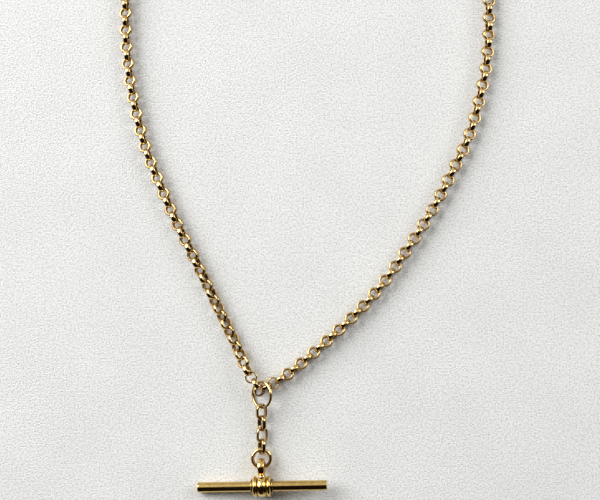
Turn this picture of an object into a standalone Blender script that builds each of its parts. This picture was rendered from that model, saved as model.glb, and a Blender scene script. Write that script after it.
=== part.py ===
"""Gold double Albert pocket watch chain, laid open in a V on a table.

The T-bar lies towards -Y, the two chain strands run up towards +Y, and +Z is up.
The origin is on the table under the middle of the outline.
Every length here is in millimetres until it reaches a mesh, which is in metres.
"""

import math

import bmesh
import bpy
import numpy as np
from mathutils import Matrix, Vector

MM = 0.001
OBJECT_NAME = "pocket_watch_chain"

# Where the V of the chain stands, from the middle of the whole outline.
V_FROM_MIDDLE = (-10.484, -83.1)

# Belcher link: a band bent into a ring, drawn with eight flats.
LINK_SIDES = 8
LINK_INNER = 0.97
LINK_OUTER = 1.46
BAND_INNER_HALF = 0.40
BAND_OUTER_HALF = 0.50
FUSED_PITCH = 1.972
FREE_PITCH = 1.905

# Loose links beside the V, with rounder rings.
LOOSE_SIDES = 16
LOOSE_INNER = 1.08
LOOSE_OUTER = 1.49

# Oval links of the drop.
DROP_INNER = 0.95
DROP_OUTER = 1.40
DROP_HALF_STRETCH = 0.52
DROP_BAND_HALF = 0.45

# Round wire rings: radius to the middle of the wire, and radius of the wire.
THREADED_RING = (2.97, 0.33)
JUMP_RING = (2.08, 0.35)
END_RING = (2.10, 0.35)
RING_SLACK = 0.10
THREADED_RING_TILT = math.radians(44.0)

# T-bar.
BAR_LENGTH = 30.0
BAR_RADIUS = 1.20
BAR_EDGE = 0.12
BAR_TURN = math.radians(1.9)
BAR_TIP = math.radians(-5.3)
BAR_HEIGHT = 2.59
COLLAR_RADIUS = 2.43
SOLDER_GAP = 0.015

SLEEVES = {
    "bar_centre_band": [
        (-1.09, 1.85),
        (-0.80, 2.22),
        (-0.30, COLLAR_RADIUS),
        (0.30, COLLAR_RADIUS),
        (0.52, 2.30),
        (0.66, 2.36),
        (0.86, 2.24),
        (1.09, 1.85),
    ],
    "bar_bead_left": [
        (-2.16, 1.75),
        (-2.00, 2.25),
        (-1.63, COLLAR_RADIUS),
        (-1.26, 2.25),
        (-1.11, 1.88),
    ],
    "bar_bead_right": [
        (1.11, 1.88),
        (1.26, 2.25),
        (1.63, COLLAR_RADIUS),
        (2.00, 2.25),
        (2.16, 1.75),
    ],
    "bar_shoulder_left": [(-2.66, 1.42), (-2.55, 1.60), (-2.36, 1.70), (-2.18, 1.66)],
    "bar_shoulder_right": [(2.18, 1.66), (2.36, 1.70), (2.55, 1.60), (2.66, 1.42)],
}
EYE_FROM_BAR = 4.45
EYE_BAND = (1.33, 2.02, 0.80)
EYE_FOOT = [(1.9, 0.86), (2.62, 0.72)]
EYE_SEAT_HALF = 1.5

# Swivel clip, measured from its ring with X towards the hook.
SWIVEL_BORE = 0.56
SWIVEL_STEM = 0.50
CLIP_DIP = math.radians(3.0)
CLIP_HEIGHT = 1.80
STEM_PROFILE = [
    (2.20, 0.75),
    (2.55, SWIVEL_STEM),
    (5.15, SWIVEL_STEM),
    (5.25, 0.86),
    (5.55, 0.80),
    (5.70, 0.5),
]
HOOK_LINE = [
    (4.3, 0.5, 0),
    (5.0, 1.6, 0),
    (6.3, 2.75, 0),
    (8.4, 3.55, 0),
    (11.0, 3.75, 0),
    (13.8, 3.40, 0),
    (16.2, 2.45, 0),
    (17.9, 0.85, 0),
    (18.2, -1.0, 0),
    (17.2, -2.5, 0),
    (15.6, -3.25, 0),
    (14.6, -3.35, 0),
]
HOOK_RADII = [0.95, 0.95, 0.88, 0.82, 0.80, 0.80, 0.80, 0.78, 0.76, 0.72, 0.66, 0.52]
BASE_PROFILE = [
    (2.75, 1.05),
    (2.85, 1.32),
    (3.20, 1.51),
    (3.55, 1.28),
    (3.85, 1.48),
    (4.60, 1.50),
    (5.08, 1.35),
]
LUG_LINE = [(4.2, -0.6, 0), (5.2, -1.6, 0), (6.4, -2.3, 0)]
LUG_RADII = [1.25, 1.25, 1.15]
GATE_HINGE = (6.4, -2.3)
GATE_PIN = 0.34
GATE_PIN_LENGTH = 2.24
PIN_GAP = 0.03
PIN_HOLE_LENGTH = 4.0
GATE_KNUCKLE = (0.95, 1.0)
BORE_PROFILE = [(2.0, SWIVEL_BORE), (5.9, SWIVEL_BORE)]
HEAD_ROOM_PROFILE = [(5.10, 1.0), (6.6, 1.0)]
SLOT_CORNERS = [(5.15, -4.2, -0.56), (8.5, -0.90, 0.56)]
GATE_LINE = [
    (6.4, -2.3, 0),
    (8.0, -2.42, 0),
    (11.0, -2.40, 0),
    (14.0, -2.22, 0),
    (15.7, -2.10, 0),
]
GATE_RADII = [0.50, 0.50, 0.48, 0.42, 0.36]
THUMB_LINE = [(9.6, -2.6, 0), (10.2, -3.15, 0), (11.0, -3.3, 0)]
THUMB_RADII = [0.42, 0.40, 0.30]
SPRING_LINE = [
    (5.18, -1.06, 0),
    (6.0, -1.08, 0),
    (6.9, -1.14, 0),
    (7.7, -1.52, 0),
    (8.6, -1.78, 0),
    (9.4, -1.78, 0),
]
SPRING_RADIUS = 0.10

# Strands: points on the middle of the chain from the V outwards, and the links in each piece.
V_POINT = (-0.6, 0.0, 2.38)
CHAIN_HEIGHT = 1.38
TABLE_GAP = 0.03
LEFT_POINTS = [
    V_POINT,
    (-1.40, 1.55, 3.20),
    (-2.60, 3.35, 3.14),
    (-5.2, 8.7, 1.95),
    (-8.3, 15.2, 1.50),
    (-15.5, 30.2, 1.51),
    (-20.6, 40.6, 1.51),
    (-23.9, 48.3, 1.51),
    (-26.8, 55.6, 1.51),
    (-29.0, 63.8, 1.51),
    (-30.5, 71.6, 1.51),
    (-31.3, 79.2, 1.51),
    (-31.5, 90.2, 1.51),
    (-30.2, 108.0, 1.51),
    (-26.0, 130.0, 1.51),
    (-19.0, 150.0, 1.51),
    (-9.5, 170.0, 1.51),
    (0.0, 188.0, 1.51),
]
RIGHT_POINTS = [
    V_POINT,
    (1.04, 0.75, 1.54),
    (2.7, 1.6, 1.51),
    (11.4, 8.1, 1.51),
    (17.1, 13.2, 1.51),
    (22.4, 18.3, 1.51),
    (27.5, 24.0, 1.51),
    (32.2, 30.5, 1.51),
    (36.6, 37.1, 1.51),
    (40.8, 44.2, 1.51),
    (44.5, 51.4, 1.51),
    (48.0, 59.1, 1.51),
    (50.2, 66.9, 1.51),
    (51.8, 74.7, 1.51),
    (52.5, 86.0, 1.51),
    (51.6, 106.0, 1.51),
    (47.8, 128.0, 1.51),
    (41.0, 150.0, 1.51),
    (32.0, 170.0, 1.51),
    (26.0, 182.0, 1.51),
]
LEFT_RUNS = [1, 1] + [5] * 14 + [7] * 3
RIGHT_RUNS = [1, 1] + [5] * 10 + [7] * 7

# How far the strands lie rolled over: (distance from the V, degrees of the links that lie
# flat, degrees of the links that stand on edge).
LEFT_ROLL = [
    (0, 0, 0),
    (2, 0, 0),
    (11, -44, -44),
    (20, -46, -44),
    (28, -39, -30),
    (38, -27, -14),
    (48, -20, -10),
    (62, -18, -7),
    (92, -17, -5),
    (125, 0, 0),
    (200, 0, 0),
]
RIGHT_ROLL = [
    (0, 0, 0),
    (2, 0, 0),
    (8, -20, -10),
    (24, -22, -11),
    (36, -18, -8),
    (46, -11, -5),
    (58, 6, 2),
    (72, 12, 4),
    (100, 20, 6),
    (130, 0, 0),
    (210, 0, 0),
]

# Pieces whose joint turns in the table's plane, about a flat link. The others lift about a
# standing link.
LEFT_TURNING = (3, 5, 17, 19)
RIGHT_TURNING = (16, 18)

# Drop: middle of each link, and how far it is rolled about the drop's line.
DROP_LINKS = [
    ((-0.12, -4.97, 2.02), 32.0),
    ((-0.03, -7.68, 1.62), -58.0),
    ((0.00, -10.40, 1.52), 27.0),
    ((-0.03, -13.10, 1.52), -63.0),
]
DROP_ENDS = ((-0.15, -2.3, 2.45), (-0.10, -15.84, 1.74))
THREADED_RING_AT = (-0.02, -1.02, 2.38)
RING_HINGE_AT = (-0.05, 1.1, 2.35)
JUMP_RING_AT = (-0.10, -15.84, 1.74)
BAR_AT = (0.07, -22.10)

GOLD = ("nine_carat_gold", (0.83, 0.60, 0.27), 0.22)
BAR_GOLD = ("bar_gold", (0.85, 0.63, 0.30), 0.20)
RING_GOLD = ("ring_gold", (0.86, 0.65, 0.32), 0.18)
STEEL = ("spring_steel", (0.62, 0.62, 0.63), 0.30)


def clear_scene():
    for ob in list(bpy.data.objects):
        bpy.data.objects.remove(ob, do_unlink=True)


def new_collection(name):
    made = bpy.data.collections.new(name)
    bpy.context.scene.collection.children.link(made)
    return made


def metal(name, colour, roughness):
    """A metal of its own for one piece."""
    mat = bpy.data.materials.new(name)
    mat.use_nodes = True
    shader = mat.node_tree.nodes["Principled BSDF"]
    shader.inputs["Base Color"].default_value = (*colour, 1.0)
    shader.inputs["Metallic"].default_value = 1.0
    shader.inputs["Roughness"].default_value = roughness
    return mat


# ---------------------------------------------------------------- shapes
# Each shape is a mesh in its own millimetre frame, ready to be placed.


def as_mesh(work):
    bmesh.ops.recalc_face_normals(work, faces=work.faces)
    data = bpy.data.meshes.new("shape")
    work.to_mesh(data)
    work.free()
    return data


def ring_shape(sides, section, stretch=0.0):
    """A section of (radius to the flat, z) points spun about Z, its flats facing X.

    Stretch pulls the two halves apart along X, which makes the ring an oval.
    """
    work = bmesh.new()
    to_corner = 1 / math.cos(math.pi / sides)
    outline = [work.verts.new((r * to_corner, 0.0, z)) for r, z in section]
    edges = [work.edges.new((outline[k - 1], outline[k])) for k in range(len(outline))]
    half_step = Matrix.Rotation(math.pi / sides, 3, "Z")
    bmesh.ops.rotate(work, verts=outline, cent=(0, 0, 0), matrix=half_step)
    bmesh.ops.spin(
        work,
        geom=outline + edges,
        cent=(0, 0, 0),
        axis=(0, 0, 1),
        angle=2 * math.pi,
        steps=sides,
        use_merge=True,
    )
    bmesh.ops.remove_doubles(work, verts=work.verts, dist=1e-5)
    for vert in work.verts:
        vert.co.x += math.copysign(stretch, vert.co.x)
    return as_mesh(work)


def band_section(inner, outer, inner_half, outer_half):
    """The link's band, going round from its inner face."""
    return [(inner, -inner_half), (outer, -outer_half), (outer, outer_half), (inner, inner_half)]


def rounded_section(inner, outer, half):
    """A half-round band: flat inside, domed outside."""
    return [
        (inner, -0.8 * half),
        (inner + 0.3 * (outer - inner), -half),
        (outer - 0.2 * (outer - inner), -0.62 * half),
        (outer, 0.0),
        (outer - 0.2 * (outer - inner), 0.62 * half),
        (inner + 0.3 * (outer - inner), half),
        (inner, 0.8 * half),
    ]


def wire_section(radius, wire, points=6):
    """A round wire, drawn with flats towards the ring's middle."""
    turns = [2 * math.pi * (k + 0.5) / points for k in range(points)]
    return [(radius - wire * math.cos(t), -wire * math.sin(t)) for t in turns]


def turned_shape(profile, sides, bore=0.0):
    """A profile of (x, radius) points spun about X, solid or round a bore."""
    work = bmesh.new()
    points = list(profile)
    if bore:
        points = [(profile[0][0], bore)] + points + [(profile[-1][0], bore)]
    line = [work.verts.new((x, r, 0.0)) for x, r in points]
    edges = [work.edges.new(pair) for pair in zip(line, line[1:])]
    if bore:
        edges.append(work.edges.new((line[-1], line[0])))
    bmesh.ops.spin(
        work,
        geom=line + edges,
        cent=(0, 0, 0),
        axis=(1, 0, 0),
        angle=2 * math.pi,
        steps=sides,
        use_merge=True,
    )
    bmesh.ops.remove_doubles(work, verts=work.verts, dist=1e-5)
    open_ends = [edge for edge in work.edges if edge.is_boundary]
    bmesh.ops.holes_fill(work, edges=open_ends, sides=0)
    return as_mesh(work)


def drawn_shape(line, radii, sides):
    """A curve bevelled to a tube that tapers from point to point, closed at both ends."""
    curve = bpy.data.curves.new("drawn", "CURVE")
    curve.dimensions = "3D"
    curve.twist_mode = "Z_UP"
    curve.bevel_depth = 1.0
    curve.bevel_resolution = sides // 2 - 2
    curve.use_fill_caps = True
    spline = curve.splines.new("POLY")
    spline.points.add(len(line) - 1)
    for point, place, radius in zip(spline.points, line, radii):
        point.co = (*place, 1.0)
        point.radius = radius
    holder = bpy.data.objects.new("drawn", curve)
    bpy.context.scene.collection.objects.link(holder)
    bpy.context.view_layer.update()
    graph = bpy.context.evaluated_depsgraph_get()
    work = bmesh.new()
    work.from_mesh(bpy.data.meshes.new_from_object(holder.evaluated_get(graph)))
    bpy.data.objects.remove(holder, do_unlink=True)
    bmesh.ops.remove_doubles(work, verts=work.verts, dist=1e-4)
    return as_mesh(work)


def box_shape(low, high):
    work = bmesh.new()
    size = Vector(high) - Vector(low)
    middle = (Vector(high) + Vector(low)) / 2
    placing = Matrix.Translation(middle) @ Matrix.Diagonal((*size, 1.0))
    bmesh.ops.create_cube(work, size=1.0, matrix=placing)
    return as_mesh(work)


def post_shape(centre, radius, length, sides):
    """A cylinder standing along Z, its middle at the centre."""
    work = bmesh.new()
    bmesh.ops.create_cone(
        work,
        cap_ends=True,
        segments=sides,
        radius1=radius,
        radius2=radius,
        depth=length,
        matrix=Matrix.Translation((centre[0], centre[1], 0.0)),
    )
    return as_mesh(work)


# ---------------------------------------------------------------- placing


def to_metres(point):
    """A point measured from the V, in metres from the origin."""
    return Vector((
        (point[0] + V_FROM_MIDDLE[0]) * MM,
        (point[1] + V_FROM_MIDDLE[1]) * MM,
        point[2] * MM,
    ))


def frame_at(centre, along, normal):
    """A placing whose X runs along the chain and whose Z is the ring's axis."""
    x = Vector(along).normalized()
    z = Vector(normal)
    z = (z - x * z.dot(x)).normalized()
    y = z.cross(x)
    turn = Matrix((x, y, z)).transposed().to_4x4()
    return Matrix.Translation(Vector(centre)) @ turn


def rolled(along, roll):
    """The direction that stands up from a line, rolled about that line."""
    x = Vector(along).normalized()
    up = Vector((0, 0, 1))
    up = (up - x * up.dot(x)).normalized()
    return up * math.cos(roll) + x.cross(up) * math.sin(roll)


def add_solid(name, shapes, pivot, collection, material=None):
    """One object from (placing, shape) pairs, with its origin at the pivot."""
    at = to_metres(pivot)
    to_frame = Matrix.Diagonal((MM, MM, MM, 1.0)) @ Matrix.Translation((*V_FROM_MIDDLE, 0.0))
    work = bmesh.new()
    for placing, shape in shapes:
        before = len(work.verts)
        work.from_mesh(shape)
        work.verts.ensure_lookup_table()
        placed = Matrix.Translation(-at) @ to_frame @ placing
        bmesh.ops.transform(work, matrix=placed, verts=work.verts[before:])
    for face in work.faces:
        face.smooth = True
    data = bpy.data.meshes.new(name)
    work.to_mesh(data)
    work.free()
    ob = bpy.data.objects.new(name, data)
    ob.location = at
    collection.objects.link(ob)
    if material:
        data.materials.append(metal(f"{name}_{material[0]}", material[1], material[2]))
    return ob


def add_cutter(name, shapes, collection):
    cutter = add_solid(name, shapes, (0, 0, 0), collection)
    cutter.display_type = "WIRE"
    cutter.hide_render = True
    return cutter


def join_with(ob, cutter, operation):
    mod = ob.modifiers.new(cutter.name, "BOOLEAN")
    mod.operation = operation
    mod.solver = "EXACT"
    mod.object = cutter


# ---------------------------------------------------------------- strands


def smooth_line(points, steps=200):
    """A natural cubic curve through the points, as many short steps."""
    p = np.array(points, float)
    t = np.concatenate([[0.0], np.cumsum(np.linalg.norm(np.diff(p, axis=0), axis=1))])
    count = len(p)
    left, right = np.eye(count), np.zeros((count, 3))
    for i in range(1, count - 1):
        before, after = t[i] - t[i - 1], t[i + 1] - t[i]
        left[i, i - 1], left[i, i], left[i, i + 1] = before, 2 * (before + after), after
        right[i] = 6 * ((p[i + 1] - p[i]) / after - (p[i] - p[i - 1]) / before)
    bend = np.linalg.solve(left, right)
    out = []
    for i in range(count - 1):
        h = t[i + 1] - t[i]
        for u in np.linspace(0, 1, steps, endpoint=False):
            v = 1 - u
            bow = (v**3 - v) * bend[i] + (u**3 - u) * bend[i + 1]
            out.append(v * p[i] + u * p[i + 1] + h * h / 6 * bow)
    out.append(p[-1])
    out = np.array(out)
    out[:, 2] = np.maximum(out[:, 2], CHAIN_HEIGHT)
    return out


def step_along(line, start, pitches):
    """Points on the line, each at its pitch from the one before."""
    out, here, k = [], np.array(start, float), 0
    for pitch in pitches:
        while np.linalg.norm(line[k + 1] - here) < pitch:
            k += 1
        back, step = line[k] - here, line[k + 1] - line[k]
        a, b, c = step @ step, 2 * back @ step, back @ back - pitch * pitch
        u = (-b + math.sqrt(max(b * b - 4 * a * c, 0.0))) / (2 * a)
        here = line[k] + u * step
        out.append(here)
    return out


def roll_at(distance, rolls, column):
    """The roll eases from one listed distance to the next."""
    for near, far in zip(rolls, rolls[1:]):
        if distance <= far[0]:
            share = (distance - near[0]) / (far[0] - near[0])
            ease = 3 * share**2 - 2 * share**3
            return math.radians(near[column] + (far[column] - near[column]) * ease)
    return 0.0


def rest_height(lean):
    """How high the chain's middle lies when its standing links lean this far."""
    return LINK_OUTER * math.cos(lean) + BAND_OUTER_HALF * math.sin(abs(lean)) + TABLE_GAP


def strand_frames(points, runs, rolls):
    """The placing of every link after the centre link, in pieces as listed in runs.

    Links are counted from the V. Odd ones stand on edge and even ones lie flat.
    """
    pitches = [p for run in runs for p in [FREE_PITCH] + [FUSED_PITCH] * (run - 1)]
    line = smooth_line(points)
    centres = [np.array(points[0], float)] + step_along(line, points[0], pitches)
    for i in range(1, len(centres)):
        lean = roll_at(i * FUSED_PITCH, rolls, 2)
        centres[i][2] = max(centres[i][2], rest_height(lean))
    frames = []
    for i in range(1, len(centres)):
        ahead = centres[min(i + 1, len(centres) - 1)] - centres[i - 1]
        standing = i % 2
        roll = roll_at(i * FUSED_PITCH, rolls, 2 if standing else 1)
        if standing:
            roll += math.pi / 2
        frames.append(frame_at(centres[i], ahead, rolled(ahead, roll)))
    pieces, at = [], 0
    for run in runs:
        pieces.append(frames[at : at + run])
        at += run
    return pieces


def hinge_points(pieces, turning):
    """Where each piece's joint axis passes: the middle of the link that it turns on."""
    points = []
    before, count = Vector(V_POINT), 0
    for number, frames in enumerate(pieces, 1):
        first_stands = (count + 1) % 2 == 1
        on_own_link = first_stands != (number in turning)
        points.append(frames[0].translation if on_own_link else before)
        before = frames[-1].translation
        count += len(frames)
    return points


def build_strand(side, pieces, turning, parts, cutters):
    """Two loose links, then the pieces of linked rings, each one body."""
    loose = ring_shape(LOOSE_SIDES, rounded_section(LOOSE_INNER, LOOSE_OUTER, BAND_OUTER_HALF))
    plain = ring_shape(
        LINK_SIDES, band_section(LINK_INNER, LINK_OUTER, BAND_INNER_HALF, BAND_OUTER_HALF)
    )
    pivots = hinge_points(pieces, turning)
    for number in (1, 2):
        frame = pieces[number - 1][0]
        add_solid(f"link_{side}_{number}", [(frame, loose)], pivots[number - 1], parts, GOLD)
    for number, frames in enumerate(pieces[2:], 1):
        name = f"chain_{side}_{number:02d}"
        ob = add_solid(name, [(f, plain) for f in frames[::2]], pivots[number + 1], parts, GOLD)
        others = add_cutter(f"{name}_between", [(f, plain) for f in frames[1::2]], cutters)
        join_with(ob, others, "UNION")


# ---------------------------------------------------------------- centre and drop


def centre_frame(left_first, right_first):
    """The centre link lies across both of its neighbours."""
    at = Vector(V_POINT)
    to_left = (left_first.translation - at).normalized()
    to_right = (right_first.translation - at).normalized()
    normal = to_right.cross(to_left)
    return frame_at(at, (to_right - to_left), normal)


def threaded_ring_frame():
    """The big ring leans with its right side up."""
    normal = (-math.sin(THREADED_RING_TILT), 0.0, math.cos(THREADED_RING_TILT))
    return frame_at(THREADED_RING_AT, (0, 1, 0), normal)


def drop_frames():
    stops = [DROP_ENDS[0]] + [c for c, _ in DROP_LINKS] + [DROP_ENDS[1]]
    frames = []
    for i, (centre, roll) in enumerate(DROP_LINKS, 1):
        down = Vector(stops[i + 1]) - Vector(stops[i - 1])
        frames.append(frame_at(centre, down, rolled(down, -math.radians(roll))))
    return frames


def build_centre(left_first, right_first, parts):
    loose = ring_shape(LOOSE_SIDES, rounded_section(LOOSE_INNER, LOOSE_OUTER, BAND_OUTER_HALF))
    frame = centre_frame(left_first, right_first)
    add_solid("centre_link", [(frame, loose)], frame.translation, parts, GOLD)
    frame = threaded_ring_frame()
    ring = ring_shape(28, wire_section(*THREADED_RING))
    add_solid("threaded_ring", [(frame, ring)], RING_HINGE_AT, parts, RING_GOLD)
    section = rounded_section(DROP_INNER, DROP_OUTER, DROP_BAND_HALF)
    oval = ring_shape(16, section, DROP_HALF_STRETCH)
    pivot = frame.translation
    for number, frame in enumerate(drop_frames(), 1):
        add_solid(f"drop_link_{number}", [(frame, oval)], pivot, parts, GOLD)
        pivot = frame @ Vector((DROP_HALF_STRETCH, 0, 0))
    frame = frame_at(JUMP_RING_AT, (0, -1, 0), (0, 0, 1))
    ring = ring_shape(24, wire_section(*JUMP_RING))
    add_solid("jump_ring", [(frame, ring)], pivot, parts, RING_GOLD)


# ---------------------------------------------------------------- T-bar


def bar_frame():
    """X along the bar, Y towards the drop."""
    turn = Matrix.Rotation(BAR_TURN, 4, "Z") @ Matrix.Rotation(BAR_TIP, 4, "Y")
    return Matrix.Translation((BAR_AT[0], BAR_AT[1], BAR_HEIGHT)) @ turn


def build_bar(parts, cutters):
    frame = bar_frame()
    pivot = Vector(JUMP_RING_AT)
    half, r = BAR_LENGTH / 2, BAR_RADIUS
    rod = [(-half, r - BAR_EDGE), (-half + BAR_EDGE, r), (half - BAR_EDGE, r), (half, r - BAR_EDGE)]
    add_solid("bar_rod", [(frame, turned_shape(rod, 24))], pivot, parts, BAR_GOLD)

    bore = r + SOLDER_GAP
    for name, profile in SLEEVES.items():
        sleeve = turned_shape(profile, 20, bore)
        add_solid(name, [(frame, sleeve)], pivot, parts, BAR_GOLD)

    upright = frame @ Matrix.Translation((0, EYE_FROM_BAR, 0)) @ Matrix.Rotation(math.pi / 2, 4, "Y")
    ring = ring_shape(20, rounded_section(*EYE_BAND))
    eye = add_solid("bar_eye", [(upright, ring)], pivot, parts, BAR_GOLD)
    foot_at = frame @ Matrix.Rotation(math.pi / 2, 4, "Z")
    foot = turned_shape(EYE_FOOT, 16)
    join_with(eye, add_cutter("bar_eye_foot", [(foot_at, foot)], cutters), "UNION")
    seat_radius = COLLAR_RADIUS + SOLDER_GAP
    seat = turned_shape([(-EYE_SEAT_HALF, seat_radius), (EYE_SEAT_HALF, seat_radius)], 48)
    join_with(eye, add_cutter("bar_eye_seat", [(frame, seat)], cutters), "DIFFERENCE")


# ---------------------------------------------------------------- fastening


def ring_place(last):
    """Where a ring of the end ring's size hangs in a strand's last link."""
    ahead = last.to_3x3() @ Vector((1, 0, 0))
    ahead.z = 0.0
    ahead.normalize()
    centre = last.translation + ahead * (LINK_INNER + END_RING[0] - END_RING[1] - RING_SLACK)
    return frame_at(centre, ahead, (0, 0, 1))


def clip_frame(last):
    """The swivel's ring is threaded through the last link and lies level."""
    placing = ring_place(last)
    placing.translation.z = CLIP_HEIGHT
    return placing @ Matrix.Rotation(CLIP_DIP, 4, "Y")


def build_clip(frame, last, parts, cutters):
    def cut(ob, name, shape, operation):
        join_with(ob, add_cutter(name, [(frame, shape)], cutters), operation)

    swivel_at = frame.translation
    loop = ring_shape(20, wire_section(*END_RING))
    eye = add_solid("clip_eye", [(frame, loop)], last.translation, parts, RING_GOLD)
    cut(eye, "clip_eye_stem", turned_shape(STEM_PROFILE, 16), "UNION")

    hook = drawn_shape(HOOK_LINE, HOOK_RADII, 10)
    body = add_solid("clip_body", [(frame, hook)], swivel_at, parts, GOLD)
    cut(body, "clip_base", turned_shape(BASE_PROFILE, 20), "UNION")
    cut(body, "clip_lugs", drawn_shape(LUG_LINE, LUG_RADII, 10), "UNION")
    cut(body, "clip_bore", turned_shape(BORE_PROFILE, 16), "DIFFERENCE")
    cut(body, "clip_head_room", turned_shape(HEAD_ROOM_PROFILE, 16), "DIFFERENCE")
    cut(body, "clip_slot", box_shape(*SLOT_CORNERS), "DIFFERENCE")
    pin_hole = post_shape(GATE_HINGE, GATE_PIN + PIN_GAP, PIN_HOLE_LENGTH, 16)
    cut(body, "clip_pin_hole", pin_hole, "DIFFERENCE")

    gate_at = frame @ Vector((*GATE_HINGE, 0))
    bar = drawn_shape(GATE_LINE, GATE_RADII, 8)
    gate = add_solid("clip_gate", [(frame, bar)], gate_at, parts, GOLD)
    cut(gate, "gate_knuckle", post_shape(GATE_HINGE, *GATE_KNUCKLE, 16), "UNION")
    cut(gate, "gate_thumb", drawn_shape(THUMB_LINE, THUMB_RADII, 8), "UNION")
    cut(gate, "gate_pin_hole", pin_hole, "DIFFERENCE")

    spring = drawn_shape(SPRING_LINE, [SPRING_RADIUS] * len(SPRING_LINE), 8)
    add_solid("gate_spring", [(frame, spring)], gate_at, parts, STEEL)
    pin = post_shape(GATE_HINGE, GATE_PIN, GATE_PIN_LENGTH, 14)
    add_solid("gate_pin", [(frame, pin)], gate_at, parts, RING_GOLD)


def build_end_ring(last, parts):
    ring = ring_shape(24, wire_section(*END_RING))
    add_solid("end_ring", [(ring_place(last), ring)], last.translation, parts, RING_GOLD)


def build():
    clear_scene()
    parts = new_collection(OBJECT_NAME)
    cutters = new_collection("cutters")
    left = strand_frames(LEFT_POINTS, LEFT_RUNS, LEFT_ROLL)
    right = strand_frames(RIGHT_POINTS, RIGHT_RUNS, RIGHT_ROLL)
    build_centre(left[0][0], right[0][0], parts)
    build_strand("left", left, LEFT_TURNING, parts, cutters)
    build_strand("right", right, RIGHT_TURNING, parts, cutters)
    build_bar(parts, cutters)
    build_clip(clip_frame(left[-1][-1]), left[-1][-1], parts, cutters)
    build_end_ring(right[-1][-1], parts)


build()
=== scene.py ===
"""Looks of the gold double Albert watch chain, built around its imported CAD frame.

Lengths are in millimetres, measured from the V of the chain, until a mesh is made.
Meshes, lights and the camera are in metres, in the frame's own coordinates.
"""

import math
import random

import bmesh
import bpy
import numpy as np
from mathutils import Matrix, Vector


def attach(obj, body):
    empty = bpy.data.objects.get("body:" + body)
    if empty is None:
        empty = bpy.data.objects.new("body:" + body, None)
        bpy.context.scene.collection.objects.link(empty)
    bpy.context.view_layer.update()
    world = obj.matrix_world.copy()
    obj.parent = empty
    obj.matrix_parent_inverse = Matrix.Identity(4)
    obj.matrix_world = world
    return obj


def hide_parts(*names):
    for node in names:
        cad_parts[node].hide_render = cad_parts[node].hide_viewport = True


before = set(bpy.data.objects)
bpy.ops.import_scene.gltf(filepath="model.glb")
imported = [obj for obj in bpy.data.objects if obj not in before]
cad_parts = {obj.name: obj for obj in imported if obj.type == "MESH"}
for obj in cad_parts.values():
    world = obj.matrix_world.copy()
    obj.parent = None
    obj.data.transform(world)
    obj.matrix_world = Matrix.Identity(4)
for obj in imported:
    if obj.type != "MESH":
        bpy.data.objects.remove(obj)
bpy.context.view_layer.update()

MM = 0.001

# Where the V lies from the middle of the frame's box.
V_FROM_MIDDLE = (-10.484, -83.1)

# The path of the strands and the places of the rings are the CAD frame's own.
FUSED_PITCH = 1.972
FREE_PITCH = 1.905
CHAIN_HEIGHT = 1.38
LINK_INNER = 0.97
LINK_OUTER = 1.46
BAND_HALF = 0.50
TABLE_GAP = 0.03
V_POINT = (-0.6, 0.0, 2.38)
LEFT_POINTS = [
    V_POINT,
    (-1.40, 1.55, 3.20),
    (-2.60, 3.35, 3.14),
    (-5.2, 8.7, 1.95),
    (-8.3, 15.2, 1.50),
    (-15.5, 30.2, 1.51),
    (-20.6, 40.6, 1.51),
    (-23.9, 48.3, 1.51),
    (-26.8, 55.6, 1.51),
    (-29.0, 63.8, 1.51),
    (-30.5, 71.6, 1.51),
    (-31.3, 79.2, 1.51),
    (-31.5, 90.2, 1.51),
    (-30.2, 108.0, 1.51),
    (-26.0, 130.0, 1.51),
    (-19.0, 150.0, 1.51),
    (-9.5, 170.0, 1.51),
    (0.0, 188.0, 1.51),
]
RIGHT_POINTS = [
    V_POINT,
    (1.04, 0.75, 1.54),
    (2.7, 1.6, 1.51),
    (11.4, 8.1, 1.51),
    (17.1, 13.2, 1.51),
    (22.4, 18.3, 1.51),
    (27.5, 24.0, 1.51),
    (32.2, 30.5, 1.51),
    (36.6, 37.1, 1.51),
    (40.8, 44.2, 1.51),
    (44.5, 51.4, 1.51),
    (48.0, 59.1, 1.51),
    (50.2, 66.9, 1.51),
    (51.8, 74.7, 1.51),
    (52.5, 86.0, 1.51),
    (51.6, 106.0, 1.51),
    (47.8, 128.0, 1.51),
    (41.0, 150.0, 1.51),
    (32.0, 170.0, 1.51),
    (26.0, 182.0, 1.51),
]

# The number of links in each piece of a strand, from the V outwards.
LEFT_RUNS = [1, 1] + [5] * 14 + [7] * 3
RIGHT_RUNS = [1, 1] + [5] * 10 + [7] * 7

# How far the strands lie rolled over: (distance from the V, degrees of the links that
# lie flat, degrees of the links that stand on edge).
LEFT_ROLL = [
    (0, 0, 0), (2, 0, 0), (11, -44, -44), (20, -46, -44), (28, -39, -30), (38, -27, -14),
    (48, -20, -10), (62, -18, -7), (92, -17, -5), (125, 0, 0), (200, 0, 0),
]
RIGHT_ROLL = [
    (0, 0, 0), (2, 0, 0), (8, -20, -10), (24, -22, -11), (36, -18, -8), (46, -11, -5),
    (58, 6, 2), (72, 12, 4), (100, 20, 6), (130, 0, 0), (210, 0, 0),
]

# The drop's links: (middle, roll in degrees).
DROP_LINKS = [
    ((-0.12, -4.97, 2.02), 32.0),
    ((-0.03, -7.68, 1.62), -58.0),
    ((0.00, -10.40, 1.52), 27.0),
    ((-0.03, -13.10, 1.52), -63.0),
]
DROP_ENDS = ((-0.15, -2.3, 2.45), (-0.10, -15.84, 1.74))
DROP_HALF_STRETCH = 0.52

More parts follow.
